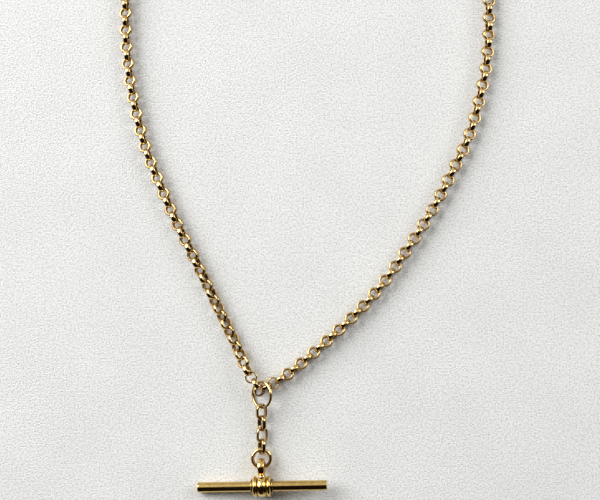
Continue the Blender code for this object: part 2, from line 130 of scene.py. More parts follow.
# Wire rings: (radius to the middle of the wire, the wire's own radius).
THREADED_RING_AT = (-0.02, -1.02, 2.38)
THREADED_RING_TILT = math.radians(44.0)
THREADED_RING = (2.97, 0.33)
JUMP_RING_AT = (-0.10, -15.84, 1.74)
JUMP_RING = (2.08, 0.35)
JUMP_RING_FULLER = 0.06
END_RING = (2.10, 0.35)
RING_SLACK = 0.10

# Links as drawn here: (inner radius, outer radius, half the band's width).
STANDING_LINK = (0.99, 1.50, 0.55)
FLAT_LINK = (0.96, 1.53, 0.50)
LOOSE_LINK = (1.08, 1.49, 0.46)
DROP_LINK = (0.93, 1.42, 0.46)

# Stations round a link, and along each straight side of a drop link.
LINK_STEPS = 44
DROP_STRAIGHT_STEPS = 5

# The band's section: its points, where its middle lies between inside and outside, and
# how square its inner and outer sides are (across the band, along the band).
BAND_POINTS = 24
BAND_MIDDLE = 0.42
INNER_POWERS = (0.42, 0.55)
OUTER_POWERS = (0.78, 0.80)

# How far links sit askew, in degrees, and how much their tone varies.
ROLL_SPREAD = 1.6
YAW_SPREAD = 0.8
TONE_RANGE = (-0.12, 0.35)
SEED = 11

# Flat links lie pitched over their neighbours, in degrees: least, more for each
# millimetre along the strand, most.
LEAST_PITCH = 6
PITCH_GAIN = 0.12
MOST_PITCH = 15

# Dirt and painted shade, from 0 for none to 1: darker inside the links, most where their
# neighbours sit, and low between the collar's sleeves.
DIRT_AND_SHADE_SWING = 0.62
DIRT_AND_SHADE_AT_ENDS = 0.9
DIRT_AND_SHADE_INSIDE = 0.80
DIRT_AND_SHADE_POWER = 0.8
# The darker outer rims of flat links and drop links are painted shade.
FLAT_LINK_RIM_SHADE = 0.6
DROP_LINK_RIM_SHADE = 0.35
SLEEVE_UNDARKENED_RADIUS = 2.1
SLEEVE_DIRT_AND_SHADE_FADE = 0.6

BAR_AT = (0.07, -22.10)
BAR_HEIGHT = 2.59
BAR_TURN = math.radians(1.9)
BAR_TIP = math.radians(-5.3)
BAR_LENGTH = 30.0
BAR_RADIUS = 1.20
BAR_EDGE = 0.12
BAR_EDGE_ROUND = 0.035
COLLAR_RADIUS = 2.43
SOLDER_GAP = 0.015

# The collar's profiles along the bar: (distance from the bar's middle, radius). The
# beads and shoulders are the left ones.
CENTRE_BAND = [
    [
        (-1.09, 1.72), (-1.05, 1.90), (-0.80, 2.24), (-0.30, COLLAR_RADIUS),
        (0.30, COLLAR_RADIUS), (0.52, 2.29),
    ],
    [(0.52, 2.29), (0.66, 2.37), (0.86, 2.25), (1.05, 1.92), (1.09, 1.74)],
]
BEAD = [
    (-2.16, 1.62), (-2.12, 1.95), (-1.95, 2.28), (-1.63, COLLAR_RADIUS),
    (-1.31, 2.28), (-1.13, 1.95), (-1.11, 1.72),
]
SHOULDER = [(-2.66, 1.40), (-2.60, 1.58), (-2.42, 1.70), (-2.24, 1.68), (-2.18, 1.60)]

EYE_FROM_BAR = 4.45
EYE_BAND = (1.33, 2.02, 0.80)
EYE_FOOT = [(1.9, 0.98), (2.45, 0.86), (2.55, 0.80), (2.66, 0.70)]
EYE_SEAT_HALF = 1.5

# The swivel clip in its own plane. X runs from the middle of its eye towards the hook.
# Profiles turned about X are (x, radius), lines are (x, y, z).
CLIP_HEIGHT = 1.80
CLIP_DIP = math.radians(3.0)
STEM = [
    [(2.20, 0.75), (2.38, 0.58), (2.60, 0.50)],
    [(2.60, 0.50), (5.15, 0.50)],
    [(5.15, 0.50), (5.17, 0.84)],
    [(5.17, 0.84), (5.30, 0.87), (5.52, 0.80), (5.66, 0.60), (5.70, 0.40)],
]
STEM_BORE = [(2.0, 0.56), (5.9, 0.56)]
STEM_HEAD_ROOM = [(5.10, 1.0), (6.6, 1.0)]
HOOK_BASE = [
    [(2.75, 0.98), (2.78, 1.15), (2.86, 1.33), (3.20, 1.50), (3.50, 1.36), (3.56, 1.26)],
    [(3.56, 1.26), (3.70, 1.38), (3.92, 1.48), (4.60, 1.50), (4.95, 1.43), (5.08, 1.34)],
]
HOOK_LINE = [
    (4.3, 0.5, 0), (5.0, 1.6, 0), (6.3, 2.75, 0), (8.4, 3.55, 0), (11.0, 3.75, 0),
    (13.8, 3.40, 0), (16.2, 2.45, 0), (17.9, 0.85, 0), (18.2, -1.0, 0), (17.2, -2.5, 0),
    (15.6, -3.25, 0), (14.6, -3.35, 0),
]
HOOK_RADII = [0.95, 0.95, 0.88, 0.82, 0.80, 0.80, 0.80, 0.78, 0.76, 0.72, 0.66, 0.52]
GATE_PIN_AT = (6.4, -2.3, 0)
LUG_LINE = [(4.2, -0.6, 0), (5.2, -1.6, 0), GATE_PIN_AT]
LUG_RADII = [1.25, 1.25, 1.12]
GATE_SLOT = ((5.15, -4.2, -0.56), (8.5, -0.90, 0.56))
GATE_LINE = [
    GATE_PIN_AT, (8.0, -2.42, 0), (11.0, -2.40, 0), (14.0, -2.22, 0), (15.7, -2.10, 0),
]
GATE_RADII = [0.50, 0.50, 0.48, 0.42, 0.36]
KNUCKLE_END = [(-0.50, 0.88), (-0.44, 0.95)]
THUMB_LINE = [(9.6, -2.6, 0), (10.2, -3.15, 0), (11.0, -3.3, 0)]
THUMB_RADII = [0.42, 0.40, 0.30]
PIN_HOLE = [(-2.0, 0.37), (2.0, 0.37)]
PIN_END = [(-1.12, 0.24), (-1.06, 0.32), (-0.98, 0.34)]
SPRING_LINE = [
    (5.18, -1.06, 0), (6.0, -1.08, 0), (6.9, -1.14, 0), (7.7, -1.52, 0), (8.6, -1.78, 0),
    (9.4, -1.78, 0),
]
SPRING_RADIUS = 0.10

# Swept tubes end in this many shrinking rings, and reach out by this share of a radius.
CAP_ROWS = 4
CAP_REACH = 0.7

# Edges sharper than this stay crisp: on plain meshes, and on those cut by a Boolean.
SHARP_ANGLE = math.radians(38)
CUT_SHARP_ANGLE = math.radians(32)

# Finishes: colours, the tone of each kind of piece from pale (0) to deep (1), noise
# scales to the metre, and the depth in metres of scratches and of the cloth's grain.
PALE = (0.91, 0.68, 0.32)
DEEP = (0.74, 0.50, 0.185)
BAR_PALE = (0.84, 0.62, 0.25)
BAR_DEEP = (0.60, 0.41, 0.13)
# The dark brown of dirt and painted shade, mixed into the gold.
DIRT_AND_SHADE_COLOUR = (0.18, 0.076, 0.019)
STEEL_PALE = (0.60, 0.60, 0.61)
STEEL_DARK = (0.40, 0.39, 0.38)
ROD_TONE = 0.5
SLEEVE_TONE = 0.05
THREADED_RING_TONE = 0.1
CLOUD_TONE = 0.6
CLOUD_SCALE = 650.0
SPECK_SCALE = 5200.0
SCRATCH_SCALE = 2600.0
SCRATCH_DEPTH = 0.00002
SCRATCH_ROUGHNESS = 0.07
# Extra roughness where the dirt and painted shade lie.
DIRT_AND_SHADE_ROUGHNESS = 0.16
STEEL_GRAIN_SCALE = 3000.0

CLOTH_PALE = (0.95, 0.96, 0.95)
CLOTH_SHADE = (0.91, 0.92, 0.91)
CLOTH_FLECK = (0.46, 0.47, 0.45)
CLOTH_GRAIN_SCALE = 3000.0
CLOTH_FLECK_SCALE = 2600.0
CLOTH_CLOUD_SCALE = 60.0
CLOTH_DEPTH = 0.00015

# The stage, in metres. Lights are (name, place, width, height, watts, colour).
FLOOR_HALF = 6.0
FLOOR_SEGMENTS = 8
LIGHTS_AIM = (-0.002, -0.05, 0.0)
LIGHTS = [
    ("window", (-0.95, 0.55, 0.75), 1.0, 1.0, 23.0, (1.0, 1.0, 1.0)),
    ("far_window", (1.0, 0.5, 0.7), 0.6, 0.6, 6.5, (1.0, 1.0, 1.0)),
    ("wall", (0.0, 1.0, 1.0), 2.0, 2.2, 10.0, (1.0, 0.98, 0.95)),
]
BACKDROP = (0.86, 0.85, 0.83)
ROOM_GLOW = (0.010, 0.006, 0.004)
CAMERA_AT = (-0.00169, -0.05072, 0.3292)
CAMERA_LENS = 85.0
SENSOR_WIDTH = 36.0


# ---------------------------------------------------------------- materials


def nodes_of(name):
    mat = bpy.data.materials.new(name)
    mat.use_nodes = True
    tree = mat.node_tree
    return mat, tree, tree.nodes["Principled BSDF"]


def spread(tree, source, low, high, from_low=0.35, from_high=0.65):
    node = tree.nodes.new("ShaderNodeMapRange")
    node.inputs["From Min"].default_value = from_low
    node.inputs["From Max"].default_value = from_high
    node.inputs["To Min"].default_value = low
    node.inputs["To Max"].default_value = high
    tree.links.new(source, node.inputs["Value"])
    return node.outputs["Result"]


def noise(tree, coords, scale, detail, stretch=None):
    node = tree.nodes.new("ShaderNodeTexNoise")
    node.inputs["Scale"].default_value = scale
    node.inputs["Detail"].default_value = detail
    if stretch:
        mapping = tree.nodes.new("ShaderNodeMapping")
        mapping.inputs["Scale"].default_value = stretch
        tree.links.new(coords, mapping.inputs["Vector"])
        coords = mapping.outputs["Vector"]
    tree.links.new(coords, node.inputs["Vector"])
    return node.outputs["Fac"]


def maths(tree, operation, a, b):
    node = tree.nodes.new("ShaderNodeMath")
    node.operation = operation
    node.use_clamp = True
    for socket, value in ((node.inputs[0], a), (node.inputs[1], b)):
        if isinstance(value, (int, float)):
            socket.default_value = value
        else:
            tree.links.new(value, socket)
    return node.outputs[0]


def mix(tree, share, a, b):
    node = tree.nodes.new("ShaderNodeMix")
    node.data_type = "RGBA"
    tree.links.new(share, node.inputs["Factor"])
    for socket, value in ((node.inputs[6], a), (node.inputs[7], b)):
        if isinstance(value, tuple):
            socket.default_value = (*value, 1.0)
        else:
            tree.links.new(value, socket)
    return node.outputs[2]


def attribute_of(tree, name):
    node = tree.nodes.new("ShaderNodeAttribute")
    node.attribute_name = name
    return node.outputs["Fac"]


def bump(tree, shader, height, strength, depth):
    node = tree.nodes.new("ShaderNodeBump")
    node.inputs["Strength"].default_value = strength
    node.inputs["Distance"].default_value = depth
    tree.links.new(height, node.inputs["Height"])
    tree.links.new(node.outputs["Normal"], shader.inputs["Normal"])


def gold_material(name, pale, deep, roughness, scratch_stretch, scratch_strength):
    """Worn, polished gold: cloudy tone, fine scratches, and dirt with painted shade from a
    per-point attribute.
    """
    mat, tree, shader = nodes_of(name)
    coords = tree.nodes.new("ShaderNodeTexCoord").outputs["Object"]
    clouds = noise(tree, coords, CLOUD_SCALE, 3.0)
    specks = noise(tree, coords, SPECK_SCALE, 5.0)
    scratches = noise(tree, coords, SCRATCH_SCALE, 6.0, scratch_stretch)
    tone = attribute_of(tree, "tone")
    dirt_shade_mask = attribute_of(tree, "dirt_and_shade")
    share = maths(tree, "ADD", spread(tree, clouds, 0.0, CLOUD_TONE), tone)
    colour = mix(tree, share, pale, deep)
    # Dirt and painted shade darken the colour where the attribute says, broken up by specks.
    dirt_shade_share = maths(tree, "MULTIPLY", dirt_shade_mask, spread(tree, specks, 0.80, 1.0))
    colour = mix(tree, dirt_shade_share, colour, DIRT_AND_SHADE_COLOUR)
    tree.links.new(colour, shader.inputs["Base Color"])
    base = spread(tree, clouds, roughness[0], roughness[1], 0.3, 0.7)
    scored = spread(tree, scratches, 0.0, SCRATCH_ROUGHNESS, 0.5, 0.75)
    worn = maths(tree, "ADD", base, scored)
    worn = maths(tree, "ADD", worn, maths(tree, "MULTIPLY", dirt_shade_share, DIRT_AND_SHADE_ROUGHNESS))
    tree.links.new(worn, shader.inputs["Roughness"])
    shader.inputs["Metallic"].default_value = 1.0
    marks = maths(tree, "ADD", scratches, maths(tree, "MULTIPLY", specks, 0.5))
    bump(tree, shader, marks, scratch_strength, SCRATCH_DEPTH)
    return mat


def steel_material(name):
    """Grey spring steel with a drawn grain."""
    mat, tree, shader = nodes_of(name)
    coords = tree.nodes.new("ShaderNodeTexCoord").outputs["Object"]
    grain = noise(tree, coords, STEEL_GRAIN_SCALE, 5.0, (0.1, 1.0, 1.0))
    colour = mix(tree, spread(tree, grain, 0.0, 1.0), STEEL_PALE, STEEL_DARK)
    tree.links.new(colour, shader.inputs["Base Color"])
    tree.links.new(spread(tree, grain, 0.22, 0.42), shader.inputs["Roughness"])
    shader.inputs["Metallic"].default_value = 1.0
    return mat


def floor_material(name):
    """White leatherette: a fine grain with small grey flecks."""
    mat, tree, shader = nodes_of(name)
    coords = tree.nodes.new("ShaderNodeTexCoord").outputs["Object"]
    grain = noise(tree, coords, CLOTH_GRAIN_SCALE, 1.0)
    flecks = noise(tree, coords, CLOTH_FLECK_SCALE, 2.0)
    clouds = noise(tree, coords, CLOTH_CLOUD_SCALE, 3.0)
    colour = mix(tree, spread(tree, clouds, 0.0, 1.0), CLOTH_PALE, CLOTH_SHADE)
    colour = mix(tree, spread(tree, flecks, 0.0, 1.0, 0.42, 0.85), colour, CLOTH_FLECK)
    tree.links.new(colour, shader.inputs["Base Color"])
    tree.links.new(spread(tree, grain, 0.50, 0.65), shader.inputs["Roughness"])
    bump(tree, shader, grain, 1.0, CLOTH_DEPTH)
    return mat


SLOTS = {
    "chain_gold": gold_material(
        "worn_chain_gold", PALE, DEEP, (0.07, 0.15), (1, 1, 1), 0.25
    ),
    "bar_gold": gold_material(
        "brushed_bar_gold", BAR_PALE, BAR_DEEP, (0.10, 0.17), (0.12, 1, 1), 0.12
    ),
    "ring_gold": gold_material(
        "drawn_ring_gold", PALE, DEEP, (0.10, 0.18), (1, 1, 1), 0.2
    ),
    "spring_steel": steel_material("spring_steel"),
}


# ---------------------------------------------------------------- shapes


def d_section(inner, outer, half):
    """A half-round band: a flat inner wall with soft corners, and a domed outside."""
    middle = inner + BAND_MIDDLE * (outer - inner)
    points = []
    for k in range(BAND_POINTS):
        t = 2 * math.pi * k / BAND_POINTS
        inside = math.cos(t) > 0
        reach = (middle - inner) if inside else (outer - middle)
        r_power, z_power = INNER_POWERS if inside else OUTER_POWERS
        r = middle - math.copysign(abs(math.cos(t)) ** r_power, math.cos(t)) * reach
        z = -half * math.copysign(abs(math.sin(t)) ** z_power, math.sin(t))
        points.append((r, z))
    return points


def wire_section(radius, wire, points=16):
    turns = [2 * math.pi * k / points for k in range(points)]
    return [(radius - wire * math.cos(t), -wire * math.sin(t)) for t in turns]


def ring_path(steps, stretch=0.0, straight=0):
    """(centre x, angle) stations round a ring or an oval."""
    if not stretch:
        return [(0.0, 2 * math.pi * k / steps) for k in range(steps)]
    half = steps // 2
    path = []
    for centre, start in ((stretch, -math.pi / 2), (-stretch, math.pi / 2)):
        for k in range(half + 1):
            path.append((centre, start + math.pi * k / half))
        for k in range(1, straight):
            path.append((centre * (1 - 2 * k / straight), start + math.pi))
    return path


def ring_shape(path, section):
    """A ring whose section of (radius, z) points runs round the path's stations."""
    rows, count = len(section), len(path)
    points = [
        (x + r * math.cos(a), r * math.sin(a), z) for x, a in path for r, z in section
    ]
    faces = []
    for i in range(count):
        j = (i + 1) % count
        for k in range(rows):
            n = (k + 1) % rows
            faces.append((i * rows + k, j * rows + k, j * rows + n, i * rows + n))
    return points, faces


def link_dirt_and_shade(points, inner, outer, stretch=0.0, rim_shade=0.0):
    """Darker inside, most where the neighbouring links sit, as dirt and painted shade; the darker
    outer rim is painted shade.
    """
    out = []
    for x, y, z in points:
        side = math.copysign(max(abs(x) - stretch, 0.0), x)
        r = math.hypot(side, y)
        swing = math.atan2(abs(y), abs(side))
        near = math.exp(-((swing / DIRT_AND_SHADE_SWING) ** 2))
        depth = min(max((outer - r) / (outer - inner), 0.0), 1.0)
        # A painted shade along the outer rim.
        edge = rim_shade * max(1 - 4 * depth, 0.0)
        ends = near * depth**DIRT_AND_SHADE_POWER * DIRT_AND_SHADE_AT_ENDS
        out.append(min(ends + DIRT_AND_SHADE_INSIDE * depth + edge, 1.0))
    return out


def wire_dirt_and_shade(points, radius, wire):
    """The inner side of a wire ring is darker: dirt and painted shade."""
    return [min(max((radius - math.hypot(x, y)) / wire, 0.0), 1.0) for x, y, z in points]


def sleeve_dirt_and_shade(points):
    """Darker low, in the grooves between the collar's sleeves: dirt and painted shade."""
    heights = [math.hypot(y, z) for x, y, z in points]
    return [min(max((SLEEVE_UNDARKENED_RADIUS - r) / SLEEVE_DIRT_AND_SHADE_FADE, 0.0), 1.0) for r in heights]


def smooth_run(points, steps):
    """A Catmull-Rom curve through the points."""
    p = [np.array(q, float) for q in points]
    if len(p) < 3:
        return [tuple(q) for q in p]
    p = [2 * p[0] - p[1]] + p + [2 * p[-1] - p[-2]]
    out = []
    for i in range(1, len(p) - 2):
        for u in np.linspace(0, 1, steps, endpoint=False):
            a = 2 * p[i]
            b = p[i + 1] - p[i - 1]
            c = 2 * p[i - 1] - 5 * p[i] + 4 * p[i + 1] - p[i + 2]
            d = -p[i - 1] + 3 * p[i] - 3 * p[i + 1] + p[i + 2]
            out.append(tuple(0.5 * (a + b * u + c * u * u + d * u**3)))
    out.append(tuple(p[-2]))
    return out


def mirrored(run):
    """The same profile at the other end of X."""
    return [(-x, r) for x, r in reversed(run)]


def rod_runs(end):
    """The runs of a straight rod whose two ends have the same profile."""
    other = mirrored(end)
    return [end, [end[-1], other[0]], other]


def turned(runs, sides, steps=6, closed_bore=None):
    """A solid turned about X, from low x to high x. Each run of (x, radius) is smooth."""
    profile = []
    for run in runs:
        pts = smooth_run(run, steps)
        profile += pts if not profile else pts[1:]
    if closed_bore is not None:
        profile = [(profile[0][0], closed_bore)] + profile + [(profile[-1][0], closed_bore)]
    points = []
    for x, r in profile:
        for k in range(sides):
            a = 2 * math.pi * k / sides
            points.append((x, r * math.cos(a), r * math.sin(a)))
    faces = []
    rows = len(profile)
    last = rows if closed_bore is not None else rows - 1
    for j in range(last):
        n = (j + 1) % rows
        for k in range(sides):
            m = (k + 1) % sides
            faces.append((j * sides + k, n * sides + k, n * sides + m, j * sides + m))
    if closed_bore is None:
        faces.append(tuple(range(sides)))
        faces.append(tuple((rows - 1) * sides + k for k in reversed(range(sides))))
    return points, faces


def rounded_end(ring, way):
    """The shrinking rings beyond a tube's first ring (way -1) or last ring (way 1)."""
    here, ahead, size = ring
    rings = []
    for k in range(1, CAP_ROWS + 1):
        t = math.pi / 2 * k / (CAP_ROWS + 0.5)
        out = way * ahead * size * math.sin(t) * CAP_REACH
        rings.append((here + out, ahead, size * math.cos(t)))
    return rings


def swept(line, radii, sides, steps):
    """A round tube along points in the XY plane, with rounded ends."""
    stations = smooth_run([(*p, r) for p, r in zip(line, radii)], steps)
    places = [Vector(s[:3]) for s in stations]
    rings = []
    for i, here in enumerate(places):
        ahead = (places[min(i + 1, len(places) - 1)] - places[max(i - 1, 0)]).normalized()
        rings.append((here, ahead, stations[i][3]))
    rings = rounded_end(rings[0], -1)[::-1] + rings + rounded_end(rings[-1], 1)
    points, faces = [], []
    for here, ahead, size in rings:
        side = Vector((-ahead.y, ahead.x, 0.0)).normalized()
        for k in range(sides):
            a = 2 * math.pi * k / sides
            rise = Vector((0, 0, size * math.sin(a)))
            points.append(tuple(here + side * size * math.cos(a) + rise))
    for i in range(len(rings) - 1):
        for k in range(sides):
            m = (k + 1) % sides
            faces.append((i * sides + k, i * sides + m, (i + 1) * sides + m, (i + 1) * sides + k))
    faces.append(tuple(reversed(range(sides))))
    faces.append(tuple((len(rings) - 1) * sides + k for k in range(sides)))
    return points, faces


def box(low, high):
    """A box between two opposite corners."""
    (x0, y0, z0), (x1, y1, z1) = low, high
    corners = [(x, y, z) for x in (x0, x1) for y in (y0, y1) for z in (z0, z1)]
    sides = [(0, 1, 3, 2), (4, 6, 7, 5), (0, 4, 5, 1), (2, 3, 7, 6), (0, 2, 6, 4), (1, 5, 7, 3)]
    return corners, sides


# ---------------------------------------------------------------- placing


def to_metres(point):
    return Vector((
        (point[0] + V_FROM_MIDDLE[0]) * MM,
        (point[1] + V_FROM_MIDDLE[1]) * MM,
        point[2] * MM,
    ))


def frame_at(centre, along, normal):
    """A placing whose X runs along and whose Z is as near the normal as it can be."""
    x = Vector(along).normalized()
    z = Vector(normal)
    z = (z - x * z.dot(x)).normalized()
    y = z.cross(x)
    turn = Matrix((x, y, z)).transposed().to_4x4()
    return Matrix.Translation(Vector(centre)) @ turn


def rolled(along, roll):
    """The upward direction square to along, turned about along by the roll."""
    x = Vector(along).normalized()
    up = Vector((0, 0, 1))
    up = (up - x * up.dot(x)).normalized()
    return up * math.cos(roll) + x.cross(up) * math.sin(roll)


def mesh_object(name, shapes):
    """One object from shapes of (placing, points, faces, dirt and painted shade as a list or
    number, tone).
    """
    points, faces, dirt_and_shade, tone = [], [], [], []
    for placing, pts, fcs, dirt_shade_mask, shade in shapes:
        at = len(points)
        points += [to_metres(placing @ Vector(p)) for p in pts]
        faces += [tuple(at + k for k in f) for f in fcs]
        dirt_and_shade += dirt_shade_mask if isinstance(dirt_shade_mask, list) else [dirt_shade_mask] * len(pts)
        tone += [shade] * len(pts)
    data = bpy.data.meshes.new(name)
    data.from_pydata(points, [], faces)
    work = bmesh.new()
    work.from_mesh(data)
    bmesh.ops.recalc_face_normals(work, faces=work.faces)
    work.to_mesh(data)
    work.free()
    # Dirt with painted shade, and tone, are stored per point for the gold.
    for key, values in (("dirt_and_shade", dirt_and_shade), ("tone", tone)):
        attribute = data.attributes.new(key, "FLOAT", "POINT")
        attribute.data.foreach_set("value", np.array(values, np.float32))
    data.polygons.foreach_set("use_smooth", [True] * len(data.polygons))
    data.set_sharp_from_angle(angle=SHARP_ANGLE)
    ob = bpy.data.objects.new(name, data)
    bpy.context.scene.collection.objects.link(ob)
    return ob


def fit(ob, body, node, slot):
    """Gives the piece its finish, its body and the CAD node it stands for."""
    ob.data.materials.clear()
    ob.data.materials.append(SLOTS[slot])
    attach(ob, body)
    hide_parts(node)


def combine(ob, other, operation):
    """Applies one exact Boolean and removes the tool."""
    mod = ob.modifiers.new("tool", "BOOLEAN")
    mod.operation = operation
    mod.solver = "EXACT"
    mod.object = other
    bpy.context.view_layer.update()
    graph = bpy.context.evaluated_depsgraph_get()
    data = bpy.data.meshes.new_from_object(ob.evaluated_get(graph))
    ob.modifiers.clear()
    ob.data = data
    bpy.data.objects.remove(other, do_unlink=True)
    data.polygons.foreach_set("use_smooth", [True] * len(data.polygons))
    data.set_sharp_from_angle(angle=CUT_SHARP_ANGLE)


# ---------------------------------------------------------------- strands


def smooth_line(points, steps=200):
    """Many points on the natural cubic spline through the given ones, none too low."""
    p = np.array(points, float)
    t = np.concatenate([[0.0], np.cumsum(np.linalg.norm(np.diff(p, axis=0), axis=1))])
    count = len(p)
    left, right = np.eye(count), np.zeros((count, 3))
    for i in range(1, count - 1):
        before, after = t[i] - t[i - 1], t[i + 1] - t[i]
        left[i, i - 1], left[i, i], left[i, i + 1] = before, 2 * (before + after), after
        right[i] = 6 * ((p[i + 1] - p[i]) / after - (p[i] - p[i - 1]) / before)
    bend = np.linalg.solve(left, right)
    out = []
    for i in range(count - 1):
        h = t[i + 1] - t[i]
        for u in np.linspace(0, 1, steps, endpoint=False):
            v = 1 - u
            bow = (v**3 - v) * bend[i] + (u**3 - u) * bend[i + 1]
            out.append(v * p[i] + u * p[i + 1] + h * h / 6 * bow)
    out.append(p[-1])
    out = np.array(out)
    out[:, 2] = np.maximum(out[:, 2], CHAIN_HEIGHT)
    return out


def step_along(line, start, pitches):
    """Places on the line, each one a pitch away from the last in a straight line."""
    out, here, k = [], np.array(start, float), 0
    for pitch in pitches:
        while np.linalg.norm(line[k + 1] - here) < pitch:
            k += 1
        back, step = line[k] - here, line[k + 1] - line[k]
        a, b, c = step @ step, 2 * back @ step, back @ back - pitch * pitch
        u = (-b + math.sqrt(max(b * b - 4 * a * c, 0.0))) / (2 * a)
        here = line[k] + u * step
        out.append(here)
    return out


def roll_at(distance, rolls, column):
    """The roll eases from one listed distance to the next."""
    for near, far in zip(rolls, rolls[1:]):
        if distance <= far[0]:
            share = (distance - near[0]) / (far[0] - near[0])
            ease = 3 * share**2 - 2 * share**3
            return math.radians(near[column] + (far[column] - near[column]) * ease)
    return 0.0


def rest_height(roll):
    """How high the chain's middle lies over the table when its standing links lean this far."""
    return LINK_OUTER * math.cos(roll) + BAND_HALF * math.sin(abs(roll)) + TABLE_GAP


def strand_frames(points, runs, rolls):
    """The placings of a strand's links, a list for each piece."""
    pitches = [p for run in runs for p in [FREE_PITCH] + [FUSED_PITCH] * (run - 1)]
    line = smooth_line(points)
    centres = [np.array(points[0], float)] + step_along(line, points[0], pitches)
    for i in range(1, len(centres)):
        lean = roll_at(i * FUSED_PITCH, rolls, 2)
        centres[i][2] = max(centres[i][2], rest_height(lean))
    frames = []
    for i in range(1, len(centres)):
        ahead = centres[min(i + 1, len(centres) - 1)] - centres[i - 1]
        standing = i % 2
        roll = roll_at(i * FUSED_PITCH, rolls, 2 if standing else 1)
        if standing:
            roll += math.pi / 2
        frames.append(frame_at(centres[i], ahead, rolled(ahead, roll)))
    pieces, at = [], 0
    for run in runs:
        pieces.append(frames[at : at + run])
        at += run
    return pieces


def one_link(placing, size, luck, path=None, stretch=0.0, wobble=1.0, rim_shade=0.0):
    """A link that sits a little askew, with its own tone."""
    inner, outer, half = size
    path = path or ring_path(LINK_STEPS)
    points, faces = ring_shape(path, d_section(inner, outer, half))
    roll = Matrix.Rotation(math.radians(luck.gauss(0, ROLL_SPREAD)) * wobble, 4, "X")
    yaw = Matrix.Rotation(math.radians(luck.gauss(0, YAW_SPREAD)) * wobble, 4, "Y")
    tone = luck.uniform(*TONE_RANGE)
    # Dirt and painted shade inside and at the contacts, and painted shade on the rim.
    dirt_shade_mask = link_dirt_and_shade(points, inner, outer, stretch, rim_shade)
    return (placing @ roll @ yaw, points, faces, dirt_shade_mask, tone)


def build_strand(side, pieces, luck):
    """Two loose links next to the V, then the pieces of several links."""
    for number, frames in enumerate(pieces[:2], 1):
        node = f"link_{side}_{number}"
        shape = one_link(frames[0], LOOSE_LINK, luck, wobble=0)
        fit(mesh_object(f"loose_{node}", [shape]), node, node, "chain_gold")
    count = 2
    for number, frames in enumerate(pieces[2:], 1):
        node = f"chain_{side}_{number:02d}"
        shapes = []
        for placing in frames:
            count += 1
            if count % 2:
                shapes.append(one_link(placing, STANDING_LINK, luck))
            else:
                pitch = min(LEAST_PITCH + PITCH_GAIN * count * FUSED_PITCH, MOST_PITCH)
                pitched = placing @ Matrix.Rotation(math.radians(pitch), 4, "Y")
                # Flat links carry a painted shade on their outer rim.
                shapes.append(one_link(pitched, FLAT_LINK, luck, rim_shade=FLAT_LINK_RIM_SHADE))
        ob = mesh_object(f"links_{side}_{number:02d}", shapes)
        fit(ob, node, node, "chain_gold")


# ---------------------------------------------------------------- centre and drop


def build_centre_link(left_first, right_first, luck):
    """The link at the V, spanning from the left strand's first link to the right one's."""
    at = Vector(V_POINT)
    to_left = (left_first.translation - at).normalized()
    to_right = (right_first.translation - at).normalized()
    placing = frame_at(at, to_right - to_left, to_right.cross(to_left))
    ob = mesh_object("centre_ring_link", [one_link(placing, LOOSE_LINK, luck, wobble=0)])
    fit(ob, "centre_link", "centre_link", "chain_gold")


def build_threaded_ring():
    normal = (-math.sin(THREADED_RING_TILT), 0.0, math.cos(THREADED_RING_TILT))
    placing = frame_at(THREADED_RING_AT, (0, 1, 0), normal)
    points, faces = ring_shape(ring_path(96), wire_section(*THREADED_RING))
    # Dirt and painted shade on the wire's inner side.
    dirt_shade_mask = wire_dirt_and_shade(points, *THREADED_RING)
    shape = (placing, points, faces, dirt_shade_mask, THREADED_RING_TONE)
    ob = mesh_object("threaded_wire_ring", [shape])
    fit(ob, "threaded_ring", "threaded_ring", "ring_gold")


def build_drop(luck):
    """Four oval links, and the jump ring below them."""
    stops = [DROP_ENDS[0]] + [c for c, _ in DROP_LINKS] + [DROP_ENDS[1]]
    path = ring_path(LINK_STEPS, DROP_HALF_STRETCH, DROP_STRAIGHT_STEPS)
    for i, (centre, roll) in enumerate(DROP_LINKS, 1):
        down = Vector(stops[i + 1]) - Vector(stops[i - 1])
        placing = frame_at(centre, down, rolled(down, -math.radians(roll)))
        # Drop links carry a lighter painted shade on their outer rim.
        shape = one_link(
            placing, DROP_LINK, luck, path, DROP_HALF_STRETCH, wobble=0, rim_shade=DROP_LINK_RIM_SHADE
        )
        ob = mesh_object(f"oval_link_{i}", [shape])
        fit(ob, f"drop_link_{i}", f"drop_link_{i}", "chain_gold")

    placing = frame_at(JUMP_RING_AT, (0, -1, 0), (0, 0, 1))
    radius, wire = JUMP_RING
    points, faces = ring_shape(ring_path(80), wire_section(radius, wire + JUMP_RING_FULLER))
    # Dirt and painted shade on the wire's inner side.
    dirt_shade_mask = wire_dirt_and_shade(points, radius, wire)
    ob = mesh_object("jump_wire_ring", [(placing, points, faces, dirt_shade_mask, 0.0)])
    fit(ob, "jump_ring", "jump_ring", "ring_gold")


# ---------------------------------------------------------------- T-bar


def bar_frame():
    turn = Matrix.Rotation(BAR_TURN, 4, "Z") @ Matrix.Rotation(BAR_TIP, 4, "Y")
    return Matrix.Translation((*BAR_AT, BAR_HEIGHT)) @ turn


def build_rod(placing):
    half, r = BAR_LENGTH / 2, BAR_RADIUS
    edge = [
        (-half, r - BAR_EDGE),
        (-half + BAR_EDGE_ROUND, r - BAR_EDGE_ROUND),
        (-half + BAR_EDGE, r),
    ]
    length = BAR_LENGTH - 2 * BAR_EDGE
    body = [(-half + BAR_EDGE + length * k / 40, r) for k in range(41)]
    points, faces = turned([edge, body, mirrored(edge)], 64, 3)
    ob = mesh_object("turned_bar", [(placing, points, faces, 0.0, ROD_TONE)])
    fit(ob, "t_bar", "bar_rod", "bar_gold")


